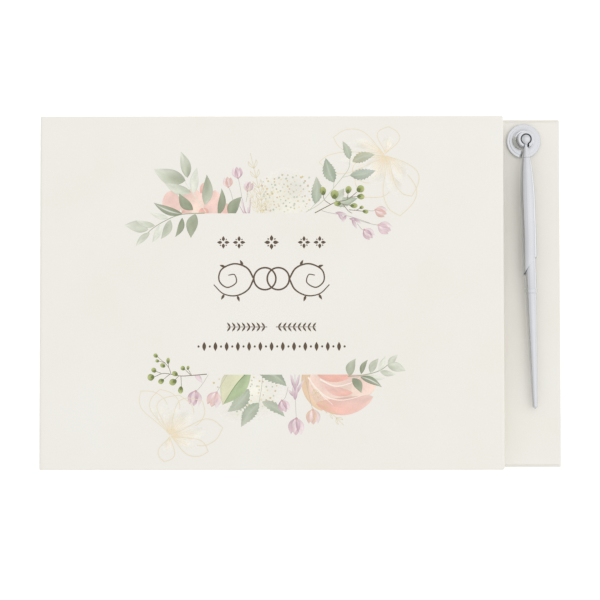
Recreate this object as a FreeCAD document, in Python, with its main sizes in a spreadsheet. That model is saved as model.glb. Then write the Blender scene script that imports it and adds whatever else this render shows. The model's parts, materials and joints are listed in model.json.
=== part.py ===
import FreeCAD, Part
import math
import os
import Sketcher
from FreeCAD import Placement, Rotation, Vector

# A landscape guest book, lying closed on its back cover. The back cover runs past the front one as
# a ledge, and a desk-pen holder is stuck to that ledge: a ball in a slotted turret carries the
# sheath, and the pen slides out of it. +X runs from the spine to the ledge, +Y from tail to head,
# +Z up, and the origin lies under the middle of the whole book.

DIMENSIONS = {
    # the case: two covers and a flat spine of greyboard, wrapped in leatherette
    "coverWidth": 236,  # spine to the fore edge of the front cover
    "ledgeWidth": 31,  # the back cover beyond that fore edge
    "bookHeight": 180,  # tail to head
    "bookThick": 16,  # outside of one cover to outside of the other
    "skin": 0.4,  # leatherette
    "board": 2.0,  # greyboard
    "paper": 0.2,  # pastedowns and the spine's lining
    "turnIn": 15,  # the wrap's fold onto the inside of a board
    "ledgeTurnIn": 51,  # the same at the ledge, far enough to pass under the pages
    "jointRadius": 1.4,  # rounded corner between spine and cover
    "jointGap": 3.0,  # spine's outer face to the edge of each board
    "spineBoard": 1.4,
    "softEdge": 0.8,  # rounding of the wrap's outer edges
    # the text block
    "sectionStart": 3.4,  # spine's outer face to the folds of the sections
    "square": 3.0,  # the cover's overhang past the pages
    "sectionThick": 1.1,
    "sectionFold": 0.45,
    "flyleaf": 0.25,
    "sectionCount": 8,
    # the pen holder, with heights counted from the top of the ledge
    "pivotFromCover": 12.15,
    "pivotFromMiddle": 78.5,
    "restYaw": 2.0,  # the pen's tail leans this far from the cover
    "restSlope": 1.6,  # and this far down
    "padRadius": 8.3,
    "padThick": 0.5,
    "padHole": 3.0,
    "baseRadius": 8.8,
    "baseTop": 1.5,
    "baseEdge": 0.4,
    "rivetHead": 2.8,
    "rivetShank": 1.5,
    "rivetCap": 2.4,
    "rivetTop": 3.1,
    "rivetPlay": 0.05,
    "turretFoot": 7.4,
    "turretFootTop": 2.3,
    "turretNeck": 4.2,
    "turretFlare": 3.0,  # concave sweep from foot to neck
    "turretRimEdge": 0.3,
    "turretTop": 9.8,
    "turretFloor": 2.5,
    "turretBore": 3.2,
    "turretLip": 2.8,
    "turretLipThick": 0.5,
    "slotWidth": 2.8,
    "flatPlay": 0.1,
    "seatTop": 5.9,
    "ballHeight": 7.7,
    "ballRadius": 3.0,
    "ballPlay": 0.1,
    # the pen and its sheath, with places counted along the pen from the ball's centre
    "neckRadius": 1.1,
    "neckEnd": 4.5,
    "studEnd": 9.3,
    "studRadius": 2.2,
    "studThreadRadius": 1.2,
    "studThreadEnd": 12.3,
    "sheathSwell": 15,
    "sheathSwellRadius": 3.05,
    "sheathFull": 28,
    "sheathRadius": 3.85,
    "sheathMouth": 65,
    "sheathLongest": 74,
    "mouthSideways": 1.3,  # how much further the mouth reaches, per millimetre to one side
    "mouthUpwards": 0.4,  # and per millimetre downwards
    "cavityStart": 16,
    "cavityTip": 0.9,
    "cavityFull": 30,
    "cavityRadius": 3.25,
    "penTip": 17,
    "tipPoint": 0.35,
    "tipRadius": 0.9,
    "tipShoulder": 20,
    "tipEnd": 23,
    "noseRadius": 1.1,
    "noseEnd": 31,
    "noseThreadEnd": 36,
    "barrelRadius": 2.95,
    "barrelBore": 2.2,
    "barrelEnd": 76.4,
    "ringRadius": 3.2,
    "ringEnd": 78.9,
    "ringEdge": 0.3,
    "refillRadius": 1.15,
    "inkRadius": 0.85,
    "refillBore": 1.25,
    "refillEnd": 84,
    "tailThreadStart": 72.4,
    "tailBoreEnd": 85,
    "tailRadius": 2.85,
    "tailTipRadius": 1.35,
    "tailEnd": 137,
}
OVER = 1.0  # how far a cutting solid runs past what it cuts

doc = FreeCAD.newDocument("guest_book")
pieces = []


class Size:
    """A length worked out from the sheet: its value, and the formula that it is bound to."""

    def __init__(self, text, value):
        self.text = text
        self.value = value

    def joined(self, sign, other, value):
        return Size(f"({self.text} {sign} {as_size(other).text})", value)

    def __add__(self, other):
        return self.joined("+", other, self.value + as_size(other).value)

    def __sub__(self, other):
        return self.joined("-", other, self.value - as_size(other).value)

    def __mul__(self, other):
        return self.joined("*", other, self.value * as_size(other).value)

    def __truediv__(self, other):
        return self.joined("/", other, self.value / as_size(other).value)

    def __neg__(self):
        return Size(f"(-1 * {self.text})", -self.value)


def as_size(number):
    return number if isinstance(number, Size) else Size(str(number), number)


class Dimensions:
    """The sheet of driving dimensions, with each alias as an attribute that gives its Size."""

    def __init__(self, values):
        sheet = doc.addObject("Spreadsheet::Sheet", "Dimensions")
        for row, (alias, value) in enumerate(values.items(), 1):
            sheet.set(f"A{row}", alias)
            sheet.set(f"B{row}", str(value))
            sheet.setAlias(f"B{row}", alias)
            setattr(self, alias, Size(f"Dimensions.{alias}", value))


# Shared ways of making a solid


def box(x, y, z):
    """A box between a low and a high Size on each axis."""
    item = doc.addObject("Part::Box", "Block")
    for side, axis, (low, high) in zip(("Length", "Width", "Height"), "xyz", (x, y, z)):
        low = as_size(low)
        item.setExpression(side, (as_size(high) - low).text)
        item.setExpression(f"Placement.Base.{axis}", low.text)
    return item


def turned(start, stop, radius, end_radius=None):
    """A cylinder along Z from start to stop, or a cone when the end radius differs."""
    start = as_size(start)
    item = doc.addObject("Part::Cone" if end_radius else "Part::Cylinder", "Turned")
    item.setExpression("Height", (as_size(stop) - start).text)
    item.setExpression("Placement.Base.z", start.text)
    if end_radius:
        item.setExpression("Radius1", radius.text)
        item.setExpression("Radius2", end_radius.text)
    else:
        item.setExpression("Radius", radius.text)
    return item


def ball(centre, radius):
    item = doc.addObject("Part::Sphere", "Ball")
    item.setExpression("Radius", as_size(radius).text)
    item.setExpression("Placement.Base.z", as_size(centre).text)
    return item


def fuse(*items):
    item = doc.addObject("Part::MultiFuse", "Joined")
    item.Shapes = list(items)
    item.Refine = True
    return item


def cut(base, *tools):
    item = doc.addObject("Part::Cut", "Cut")
    item.Base = base
    item.Tool = tools[0] if len(tools) == 1 else fuse(*tools)
    item.Refine = True
    return item


def rounded(base, radius, wanted):
    """Fillets the edges of base whose middle point passes the test."""
    doc.recompute()
    numbers = [n for n, edge in enumerate(base.Shape.Edges, 1) if wanted(middle(edge))]
    item = doc.addObject("Part::Fillet", "Rounded")
    item.Base = base
    item.Edges = [(n, radius.value, radius.value) for n in numbers]
    return item


def middle(edge):
    return edge.valueAt((edge.FirstParameter + edge.LastParameter) / 2)


def near(a, b):
    return math.isclose(a, as_size(b).value, abs_tol=1e-6)


def piece(label, item, placement=None):
    """Names a finished sub-part and puts it in place."""
    item.Label = label
    if placement:
        item.Placement = placement
    pieces.append(item)


def sketched_body(name, plane_role, points):
    """A body with one closed sketch of straight edges, each corner held at its own two Sizes."""
    body = doc.addObject("PartDesign::Body", name)
    sketch = body.newObject("Sketcher::SketchObject", f"{name}_outline")
    plane = next(p for p in body.Origin.OriginFeatures if p.Role == plane_role)
    sketch.AttachmentSupport = [(plane, "")]
    sketch.MapMode = "FlatFace"
    corners = [Vector(as_size(across).value, as_size(up).value, 0) for across, up in points]
    count = len(corners)
    for n in range(count):
        sketch.addGeometry(Part.LineSegment(corners[n], corners[(n + 1) % count]))
    for n in range(count):
        sketch.addConstraint(Sketcher.Constraint("Coincident", n, 2, (n + 1) % count, 1))
        for kind, size in zip(("DistanceX", "DistanceY"), points[n]):
            size = as_size(size)
            held = sketch.addConstraint(Sketcher.Constraint(kind, -1, 1, n, 1, size.value))
            sketch.setExpression(f"Constraints[{held}]", size.text)
    return body, sketch


d = Dimensions(DIMENSIONS)
doc.recompute()

left = -(d.coverWidth + d.ledgeWidth) / 2
right = -left
fore = left + d.coverWidth
head = d.bookHeight / 2
board_edge = left + d.jointGap
board_top = d.skin + d.board
wrap_top = board_top + d.skin
cover_thick = wrap_top + d.paper


# The case


def cover(side, edge, turn_in, paper_edge, placement):
    """One cover, outside down: board, wrap with its turn-ins, and the endpaper pasted over them."""
    low, high = board_edge, edge - d.skin
    reach = head - d.skin
    corners = [(low, -reach), (high, -reach), (high, reach), (low, reach)]
    board, sketch = sketched_body(f"{side}_board_body", "XY_Plane", corners)
    pad = board.newObject("PartDesign::Pad", f"{side}_board_pad")
    pad.Profile = sketch
    pad.setExpression("Length", d.board.text)
    lifted = placement * Placement(Vector(0, 0, d.skin.value), Rotation())
    piece(f"{side}_board", board, lifted)

    blank = box((board_edge, edge), (-head, head), (0, wrap_top))
    pocket = box((board_edge - OVER, high), (-reach, reach), (d.skin, board_top))
    field = head - d.turnIn
    window = box((board_edge - OVER, edge - turn_in), (-field, field), (board_top, wrap_top + OVER))
    hollow = cut(blank, pocket, window)

    def outer_edge(p):
        on_end = near(p.x, edge)
        on_side = near(abs(p.y), head)
        on_face = near(p.z, 0) or near(p.z, wrap_top)
        return (on_end and on_side) or (on_face and (on_end or on_side))

    piece(f"{side}_cover_wrap", rounded(hollow, d.softEdge, outer_edge), placement)

    margin = head - d.square
    sheet = box((board_edge, paper_edge), (-margin, margin), (wrap_top, cover_thick))
    plug = box((board_edge, edge - turn_in), (-field, field), (board_top, cover_thick))
    dip = box(
        (board_edge - OVER, edge - turn_in - d.paper),
        (-field + d.paper, field - d.paper),
        (board_top + d.paper, cover_thick + OVER),
    )
    piece(f"{side}_pastedown", cut(fuse(sheet, plug), dip), placement)


def joint_fold(height, turn):
    """A quarter round of the wrap between spine and cover, about that joint's own axis."""
    outer = doc.addObject("Part::Cylinder", "FoldOutside")
    inner = doc.addObject("Part::Cylinder", "FoldInside")
    for item, radius in ((outer, d.jointRadius), (inner, d.jointRadius - d.skin)):
        item.setExpression("Radius", radius.text)
        item.setExpression("Height", d.bookHeight.text)
        item.Angle = 90
    fold = cut(outer, inner)
    lying = Rotation(Vector(0, 1, 0), turn) * Rotation(Vector(1, 0, 0), -90)
    corner = left + d.jointRadius
    fold.Placement = Placement(Vector(corner.value, -head.value, height.value), lying)
    return fold


def spine():
    """The spine's board and lining, and its wrap with the two rounded joints."""
    low, high = wrap_top, d.bookThick - wrap_top
    reach = head - d.skin
    board_back = left + d.skin
    board_front = board_back + d.spineBoard
    wrap_front = board_front + d.skin
    piece("spine_board", box((board_back, board_front), (-reach, reach), (low, high)))

    upper = d.bookThick - d.jointRadius
    face = box((left, board_back), (-head, head), (d.jointRadius, upper))
    wrapped = [face, joint_fold(d.jointRadius, 90), joint_fold(upper, 180)]
    field = head - d.turnIn
    for inner, outer in ((-head, -reach), (reach, head)):
        wrapped.append(box((board_back, wrap_front), (inner, outer), (low, high)))
    for inner, outer in ((-head, -field), (field, head)):
        wrapped.append(box((board_front, wrap_front), (inner, outer), (low, high)))
    piece("spine_wrap", fuse(*wrapped))

    lining = box((board_front, board_front + d.paper), (-field, field), (low, high))
    piece("spine_lining", lining)


cover("back", right, d.ledgeTurnIn, fore - d.square * 2, Placement())
flipped = Placement(Vector(0, 0, d.bookThick.value), Rotation(Vector(1, 0, 0), 180))
cover("front", fore, d.turnIn, fore - d.square, flipped)
spine()


# The text block, from the top leaf down


def leaf(label, top, thick, fold=None):
    """A flat stack of paper below top; a section has a rounded fold along the spine."""
    folds = left + d.sectionStart
    margin = head - d.square
    item = box((folds, fore - d.square), (-margin, margin), (top - thick, top))
    if fold:
        item = rounded(item, fold, lambda p: near(p.x, folds) and near(p.y, 0))
    piece(label, item)


room = d.bookThick - cover_thick * 2
play = (room - d.flyleaf * 2 - d.sectionCount * d.sectionThick) / (d.sectionCount + 3)
top = d.bookThick - cover_thick - play
leaf("front_flyleaf", top, d.flyleaf)
top = top - d.flyleaf - play
for n in range(1, DIMENSIONS["sectionCount"] + 1):
    leaf(f"signature_{n}", top, d.sectionThick, d.sectionFold)
    top = top - d.sectionThick - play
leaf("back_flyleaf", top, d.flyleaf)


# The pen holder, stuck to the ledge

holder_foot = Vector((fore + d.pivotFromCover).value, d.pivotFromMiddle.value, wrap_top.value)
holder = Placement(holder_foot, Rotation(Vector(0, 0, 1), d.restYaw.value))
level_pen = Placement(Vector(0, 0, d.ballHeight.value), Rotation(Vector(1, 0, 0), 90))
sloped = Placement(Vector(), Rotation(Vector(1, 0, 0), d.restSlope.value))
pen_line = holder * level_pen * sloped


def base():
    """Foam pad, round base plate, and the rivet that the turret turns on."""
    pad = turned(0, d.padThick, d.padRadius)
    pad = cut(pad, turned(-OVER, d.padThick + OVER, d.padHole))
    piece("holder_adhesive_pad", pad, holder)

    plate = turned(d.padThick, d.baseTop, d.baseRadius)
    plate = rounded(plate, d.baseEdge, lambda p: near(p.z, d.baseTop))
    hole = turned(d.padThick - OVER, d.baseTop + OVER, d.rivetShank)
    piece("holder_base", cut(plate, hole), holder)

    head_disc = turned(0, d.padThick, d.rivetHead)
    cap_floor = d.turretFloor + d.flatPlay
    shank = turned(d.padThick, cap_floor, d.rivetShank)
    cap = turned(cap_floor, d.rivetTop, d.rivetCap)
    piece("holder_rivet", fuse(head_disc, shank, cap), holder)


def turret():
    """The slotted cup that turns on the rivet and holds the ball, and the seat below the ball."""
    foot = d.baseTop + d.flatPlay
    hole = d.rivetShank + d.rivetPlay
    lip = d.turretTop - d.turretLipThick
    profile = [
        (hole, foot),
        (d.turretFoot, foot),
        (d.turretFoot, d.turretFootTop),
        (d.turretNeck, d.turretFootTop),
        (d.turretNeck, d.turretTop),
        (d.turretLip, d.turretTop),
        (d.turretLip, lip),
        (d.turretBore, lip),
        (d.turretBore, d.turretFloor),
        (hole, d.turretFloor),
    ]
    cup, sketch = sketched_body("turret_cup", "XZ_Plane", profile)
    turn = cup.newObject("PartDesign::Revolution", "turret_turned")
    turn.Profile = sketch
    turn.ReferenceAxis = (sketch, ["V_Axis"])
    turn.Angle = 360
    for name, height, radius in (
        ("turret_flare", d.turretFootTop, d.turretFlare),
        ("turret_rim", d.turretTop, d.turretRimEdge),
    ):
        doc.recompute()
        before = cup.Tip
        ring = next(
            f"Edge{n}"
            for n, edge in enumerate(before.Shape.Edges, 1)
            if isinstance(edge.Curve, Part.Circle)
            and near(edge.Curve.Radius, d.turretNeck)
            and near(middle(edge).z, height)
        )
        fillet = cup.newObject("PartDesign::Fillet", name)
        fillet.Base = (before, [ring])
        fillet.setExpression("Radius", radius.text)

    half = d.slotWidth / 2
    slot = box((-half, half), (-d.turretFoot, 0), (d.ballHeight, d.turretTop + OVER))
    slot_end = doc.addObject("Part::Cylinder", "SlotEnd")
    slot_end.setExpression("Radius", half.text)
    slot_end.setExpression("Height", d.turretFoot.text)
    slot_end.Placement = Placement(Vector(0, 0, d.ballHeight.value), Rotation(Vector(1, 0, 0), 90))
    piece("swivel_turret", cut(cup, slot, slot_end), holder)

    seat = turned(d.rivetTop + d.flatPlay * 2, d.seatTop, d.turretBore)
    piece("ball_seat", cut(seat, ball(d.ballHeight, d.ballRadius + d.ballPlay)), holder)


def sheath():
    """The ball with its stud, and the sheath screwed onto it, cut off on the slant at its mouth."""
    stud = fuse(
        ball(0, d.ballRadius),
        turned(0, d.neckEnd, d.neckRadius),
        turned(d.neckEnd, d.studEnd, d.neckRadius, d.studRadius),
        turned(d.studEnd, d.studThreadEnd, d.studThreadRadius),
    )
    piece("ball_stud", stud, pen_line)

    outside = fuse(
        turned(d.studEnd, d.sheathSwell, d.studRadius, d.sheathSwellRadius),
        turned(d.sheathSwell, d.sheathFull, d.sheathSwellRadius, d.sheathRadius),
        turned(d.sheathFull, d.sheathLongest, d.sheathRadius),
    )
    inside = fuse(
        turned(d.studEnd - OVER, d.studThreadEnd, d.studThreadRadius),
        turned(d.cavityStart, d.cavityFull, d.cavityTip, d.cavityRadius),
        turned(d.cavityFull, d.sheathLongest + OVER, d.cavityRadius),
    )
    slant = doc.addObject("Part::Box", "MouthCut")
    for side in ("Length", "Width", "Height"):
        slant.setExpression(side, d.sheathMouth.text)
    half = d.sheathMouth.value / 2
    facing = Rotation(Vector(0, 0, 1), Vector(d.mouthSideways.value, d.mouthUpwards.value, 1))
    centred = Placement(Vector(-half, -half, 0), Rotation())
    slant.Placement = Placement(Vector(0, 0, d.sheathMouth.value), facing) * centred
    piece("pen_sheath", cut(outside, inside, slant), pen_line)


def pen():
    """The ballpoint: tip and refill inside a nose cone, barrel, ring and tapered tail."""
    tip = fuse(
        turned(d.penTip, d.tipShoulder, d.tipPoint, d.tipRadius),
        turned(d.tipShoulder, d.tipEnd, d.tipRadius),
    )
    piece("refill_tip", tip, pen_line)
    tube = turned(d.tipEnd, d.refillEnd, d.refillRadius)
    ink_bore = turned(d.tipEnd + OVER, d.refillEnd + OVER, d.inkRadius)
    piece("ink_refill", cut(tube, ink_bore), pen_line)

    nose = fuse(
        turned(d.tipShoulder, d.noseEnd, d.noseRadius, d.barrelRadius),
        turned(d.noseEnd, d.noseThreadEnd, d.barrelBore),
    )
    nose_bore = fuse(
        turned(d.tipShoulder - OVER, d.tipEnd, d.tipRadius),
        turned(d.tipEnd, d.noseThreadEnd + OVER, d.refillBore),
    )
    piece("pen_nose_cone", cut(nose, nose_bore), pen_line)

    barrel = turned(d.noseEnd, d.barrelEnd, d.barrelRadius)
    bore = turned(d.noseEnd - OVER, d.barrelEnd + OVER, d.barrelBore)
    piece("pen_barrel", cut(barrel, bore), pen_line)

    ring = turned(d.barrelEnd, d.ringEnd, d.ringRadius)
    ring = rounded(ring, d.ringEdge, lambda p: near(p.z, d.barrelEnd) or near(p.z, d.ringEnd))
    ring_bore = turned(d.barrelEnd - OVER, d.ringEnd + OVER, d.barrelBore)
    piece("pen_ring", cut(ring, ring_bore), pen_line)

    tail = fuse(
        turned(d.tailThreadStart, d.ringEnd, d.barrelBore),
        turned(d.ringEnd, d.tailEnd, d.tailRadius, d.tailTipRadius),
        ball(d.tailEnd, d.tailTipRadius),
    )
    tail_bore = turned(d.tailThreadStart - OVER, d.tailBoreEnd, d.refillBore)
    piece("pen_tail", cut(tail, tail_bore), pen_line)


base()
turret()
sheath()
pen()


doc.recompute()
failed = [o.Label for o in doc.Objects if {"Invalid", "Error"} & set(o.State)]
if failed:
    raise RuntimeError(f"objects that did not recompute: {failed}")
for item in pieces:
    if item.Shape.isNull() or not item.Shape.isValid():
        raise RuntimeError(f"{item.Label} has no valid shape")

os.makedirs("parts", exist_ok=True)
for item in pieces:
    item.Shape.exportStep(f"parts/{item.Label}.step")
print(len(pieces), "pieces")
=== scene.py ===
import json
import math

import bmesh
import bpy
import numpy as np
from mathutils import Matrix, Vector


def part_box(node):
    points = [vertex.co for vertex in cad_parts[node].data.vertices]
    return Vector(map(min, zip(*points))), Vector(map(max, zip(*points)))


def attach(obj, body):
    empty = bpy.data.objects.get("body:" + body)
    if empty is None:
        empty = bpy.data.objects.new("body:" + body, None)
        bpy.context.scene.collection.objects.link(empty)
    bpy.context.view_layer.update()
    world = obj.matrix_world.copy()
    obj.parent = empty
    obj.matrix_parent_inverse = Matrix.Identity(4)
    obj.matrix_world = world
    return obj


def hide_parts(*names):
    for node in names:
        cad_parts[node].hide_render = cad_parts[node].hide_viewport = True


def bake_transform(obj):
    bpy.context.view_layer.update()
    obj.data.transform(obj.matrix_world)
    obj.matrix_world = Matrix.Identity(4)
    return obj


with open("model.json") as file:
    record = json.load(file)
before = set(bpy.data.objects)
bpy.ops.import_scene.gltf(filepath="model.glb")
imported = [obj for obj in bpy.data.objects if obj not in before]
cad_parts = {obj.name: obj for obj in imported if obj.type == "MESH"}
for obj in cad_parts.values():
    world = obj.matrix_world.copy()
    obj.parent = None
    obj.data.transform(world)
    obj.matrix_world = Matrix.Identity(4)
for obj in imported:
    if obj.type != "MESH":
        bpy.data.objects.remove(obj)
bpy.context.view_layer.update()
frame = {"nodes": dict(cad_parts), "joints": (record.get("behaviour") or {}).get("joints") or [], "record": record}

# A wedding guest book lying closed, with a chrome desk pen in a swivel holder on its ledge.
# Shapes are worked out in millimetres and turned into metres when a mesh is made.

MM = 0.001


def node_box(name):
    """Lowest and highest corner of a CAD node, in millimetres."""
    low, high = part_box(name)
    return low / MM, high / MM


def joint(name):
    return next(j for j in frame["joints"] if j["name"] == name)


back_low, back_high = node_box("back_cover_wrap")
front_high = node_box("front_cover_wrap")[1]
spine_low, spine_high = node_box("spine_wrap")
SPINE = spine_low.x  # outer face of the spine
FORE = front_high.x  # fore edge of the front cover
LEDGE = back_high.x  # fore edge of the back cover
HEAD = front_high.y
TOP = front_high.z  # outer face of the front cover
COVER = back_high.z  # a wrapped board's thickness, and the height of the ledge
SPINE_THICK = spine_high.x - SPINE
BOARD_EDGE = back_low.x  # where the wrap leaves the boards and bends
FOLD = joint("spine_fold")["pos_m"][2] / MM  # outer radius of the wrap where it bends
SKIN = 0.4  # leatherette
TURN_IN = 15.0
LEDGE_TURN_IN = 51.0


# Materials


def srgb(red, green, blue):
    """A colour as it looks on a screen, from 0 to 1, as the linear one that shaders take."""
    levels = (red, green, blue)
    return tuple(v / 12.92 if v <= 0.04045 else ((v + 0.055) / 1.055) ** 2.4 for v in levels)


def new_node(tree, kind, links=None, values=None, **settings):
    """A node with its settings, its inputs' values, and the sockets that feed its inputs."""
    made = tree.nodes.new(kind)
    for key, value in settings.items():
        setattr(made, key, value)
    for key, value in (values or {}).items():
        made.inputs[key].default_value = value
    for key, source in (links or {}).items():
        tree.links.new(source, made.inputs[key])
    return made


def multiplied(tree, first, second):
    """One colour socket multiplied by another."""
    values = {"Factor": 1.0}
    kind = {"data_type": "RGBA", "blend_type": "MULTIPLY"}
    mix = new_node(tree, "ShaderNodeMix", {6: first, 7: second}, values, **kind)
    return mix.outputs[2]


class Finish:
    """A material under construction. Patterns lie in the object's own space, in metres."""

    def __init__(self, name, colour, roughness, **sockets):
        self.material = bpy.data.materials.new(name)
        self.material.use_nodes = True
        self.tree = self.material.node_tree
        self.surface = self.tree.nodes["Principled BSDF"]
        self.surface.inputs["Base Color"].default_value = (*colour, 1)
        self.surface.inputs["Roughness"].default_value = roughness
        for socket, value in sockets.items():
            self.surface.inputs[socket.replace("_", " ")].default_value = value
        self.place = self.node("ShaderNodeTexCoord").outputs["Object"]

    def node(self, kind, links=None, values=None, **settings):
        return new_node(self.tree, kind, links, values, **settings)

    def noise(self, size, detail=2.0, stretch=(1, 1, 1)):
        """Noise whose features are about size millimetres, drawn out by stretch."""
        spread = self.node("ShaderNodeMapping", {"Vector": self.place})
        spread.inputs["Scale"].default_value = [1 / (size * MM * s) for s in stretch]
        values = {"Scale": 1.0, "Detail": detail, "Roughness": 0.55}
        return self.node("ShaderNodeTexNoise", {"Vector": spread.outputs[0]}, values).outputs["Fac"]

    def cells(self, size):
        """Voronoi cells about size millimetres across."""
        values = {"Scale": 1 / (size * MM)}
        return self.node("ShaderNodeTexVoronoi", {"Vector": self.place}, values).outputs["Distance"]

    def scaled(self, source, low, high, start=0.3, stop=0.7):
        """Source's values from start to stop, spread over low to high."""
        values = {"From Min": start, "From Max": stop, "To Min": low, "To Max": high}
        return self.node("ShaderNodeMapRange", {"Value": source}, values).outputs["Result"]

    def sum(self, first, second, weight):
        """First plus weight times second."""
        scaled = self.node("ShaderNodeMath", {0: second}, {1: weight}, operation="MULTIPLY")
        links = {0: first, 1: scaled.outputs[0]}
        return self.node("ShaderNodeMath", links, operation="ADD").outputs[0]

    def mixed(self, factor, first, second):
        """One colour blended into another. Either is a colour or a socket that carries one."""
        mix = self.node("ShaderNodeMix", {"Factor": factor}, data_type="RGBA")
        for place, colour in ((6, first), (7, second)):
            if isinstance(colour, tuple):
                mix.inputs[place].default_value = (*colour, 1)
            else:
                self.tree.links.new(colour, mix.inputs[place])
        return mix.outputs[2]

    def shaded(self, colour, grey):
        """A colour socket multiplied by a grey value."""
        tone = self.node("ShaderNodeCombineColor", {n: grey for n in ("Red", "Green", "Blue")})
        return multiplied(self.tree, colour, tone.outputs[0])

    def paint(self, colour):
        self.tree.links.new(colour, self.surface.inputs["Base Color"])

    def gloss(self, roughness):
        self.tree.links.new(roughness, self.surface.inputs["Roughness"])

    def bump(self, height, depth, strength=1.0):
        """Relief whose height of 1 stands for depth millimetres."""
        values = {"Strength": strength, "Distance": depth * MM}
        relief = self.node("ShaderNodeBump", {"Height": height}, values)
        self.tree.links.new(relief.outputs["Normal"], self.surface.inputs["Normal"])


def leather_grain(finish):
    """The wrap's fine pebble grain, which shows through the print as well."""
    pebbles = finish.scaled(finish.cells(0.55), 0, 1, 0.0, 0.75)
    relief = finish.sum(pebbles, finish.noise(0.22), 0.35)
    finish.bump(relief, depth=0.016, strength=0.55)
    finish.gloss(finish.scaled(finish.noise(3.0), 0.44, 0.54))
    return pebbles


def leatherette():
    """Ivory leatherette: a soft pebble grain, clouded a little, with a dull sheen."""
    finish = Finish("leatherette", srgb(0.90, 0.89, 0.86), 0.5, Specular_IOR_Level=0.35)
    grain = leather_grain(finish)
    cloud = finish.scaled(finish.noise(38, detail=3.0), 0, 1)
    body = finish.mixed(cloud, IVORY, IVORY_WARM)
    finish.paint(finish.shaded(body, finish.scaled(grain, 0.985, 1.0, 0, 1)))
    return finish.material


def printed_ink():
    """Watercolour print on the leatherette: its colour is on the mesh, with pigment grain over it."""
    finish = Finish("printed_ink", srgb(0.8, 0.8, 0.7), 0.5, Specular_IOR_Level=0.35)
    grain = leather_grain(finish)
    ink = finish.node("ShaderNodeAttribute", attribute_name="Ink").outputs["Color"]
    pigment = finish.scaled(finish.noise(0.9, detail=4.0), 0.955, 1.03)
    finish.paint(finish.shaded(ink, finish.sum(pigment, grain, 0.01)))
    return finish.material


def paper(name, colour, tint):
    """Uncoated paper: faint fibres and cockle."""
    finish = Finish(name, colour, 0.8, Specular_IOR_Level=0.2)
    fibres = finish.noise(0.35, detail=4.0, stretch=(3, 1, 1))
    finish.paint(finish.mixed(finish.scaled(fibres, 0, 1), colour, tint))
    finish.bump(finish.sum(fibres, finish.noise(6.0), 0.6), depth=0.012, strength=0.5)
    return finish.material


def greyboard():
    """Grey bookbinder's board with flecks."""
    finish = Finish("greyboard", srgb(0.62, 0.6, 0.56), 0.9)
    flecks = finish.scaled(finish.noise(0.8, detail=5.0), 0, 1, 0.35, 0.7)
    finish.paint(finish.mixed(flecks, srgb(0.55, 0.53, 0.49), srgb(0.68, 0.66, 0.62)))
    finish.bump(flecks, depth=0.05)
    return finish.material


def polished(name, colour, roughness, brush=0.0):
    """Bright metal: hairline scratches and faint smears in its gloss."""
    finish = Finish(name, colour, roughness, Metallic=1.0)
    finish.gloss(finish.scaled(finish.noise(9.0, detail=3.0), roughness * 0.75, roughness * 1.6))
    tarnish = finish.scaled(finish.noise(14.0), 0, 1)
    finish.paint(finish.mixed(tarnish, colour, tuple(v * 0.96 for v in colour)))
    finish.bump(finish.noise(0.12, stretch=(1, 60, 60)), depth=0.0012 + brush, strength=0.25)
    return finish.material


def moulded(name, colour, roughness, texture):
    """Moulded plastic or foam with a fine texture of the given size."""
    finish = Finish(name, colour, roughness)
    cells = finish.noise(texture, detail=3.0)
    finish.paint(finish.mixed(finish.scaled(cells, 0, 1), colour, tuple(v * 0.88 for v in colour)))
    finish.bump(cells, depth=texture * 0.1, strength=0.6)
    return finish.material


IVORY = srgb(0.905, 0.897, 0.872)
IVORY_WARM = srgb(0.9, 0.889, 0.857)
LEATHERETTE = leatherette()
PRINTED_INK = printed_ink()
MATERIALS = {
    "leatherette": LEATHERETTE,
    "greyboard": greyboard(),
    "endpaper": paper("endpaper", srgb(0.93, 0.92, 0.89), srgb(0.90, 0.885, 0.85)),
    "page_paper": paper("page_paper", srgb(0.955, 0.948, 0.925), srgb(0.93, 0.92, 0.895)),
    "foam_tape": moulded("foam_tape", srgb(0.86, 0.86, 0.84), 0.95, 0.5),
    "chrome": polished("chrome", srgb(0.835, 0.842, 0.856), 0.06),
    "steel": polished("steel", srgb(0.76, 0.76, 0.77), 0.22, brush=0.002),
    "nylon": moulded("nylon", srgb(0.2, 0.2, 0.21), 0.5, 0.25),
    "refill_plastic": moulded("refill_plastic", srgb(0.12, 0.14, 0.3), 0.35, 0.2),
    "brass": polished("brass", srgb(0.86, 0.75, 0.5), 0.18, brush=0.001),
}
SLOTS = {part["node"]: part["material_slot"] for part in frame["record"]["subparts"]}


# Meshes

SHARP = math.radians(35)


def placed(name, data):
    """A new object in the scene."""
    made = bpy.data.objects.new(name, data)
    bpy.context.scene.collection.objects.link(made)
    return made


def edited(mesh, change):
    """The mesh itself, after change has worked on it as a bmesh."""
    work = bmesh.new()
    work.from_mesh(mesh)
    change(work)
    work.to_mesh(mesh)
    work.free()
    return mesh


def new_piece(name, mesh, material, replaces=()):
    """Puts a finished mesh in the scene, with smooth shading up to the sharp angle."""
    mesh.polygons.foreach_set("use_smooth", [True] * len(mesh.polygons))
    mesh.set_sharp_from_angle(angle=SHARP)
    mesh.materials.append(material)
    piece = placed(name, mesh)
    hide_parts(*replaces)
    return piece


def mesh_from(name, points, faces):
    """A closed mesh from points in millimetres, its faces turned outwards."""
    mesh = bpy.data.meshes.new(name)
    mesh.from_pydata((np.asarray(points, float) * MM).tolist(), [], faces)
    return edited(mesh, lambda work: bmesh.ops.recalc_face_normals(work, faces=work.faces))


def rows_joined(rows, columns, looped, first=0):
    """Faces between neighbouring rows of a grid of points; looped joins each row's ends."""
    faces = []
    for row in range(rows - 1):
        for n in range(columns if looped else columns - 1):
            near = first + row * columns + n
            side = first + row * columns + (n + 1) % columns
            faces.append((near, side, side + columns, near + columns))
    return faces


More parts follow.
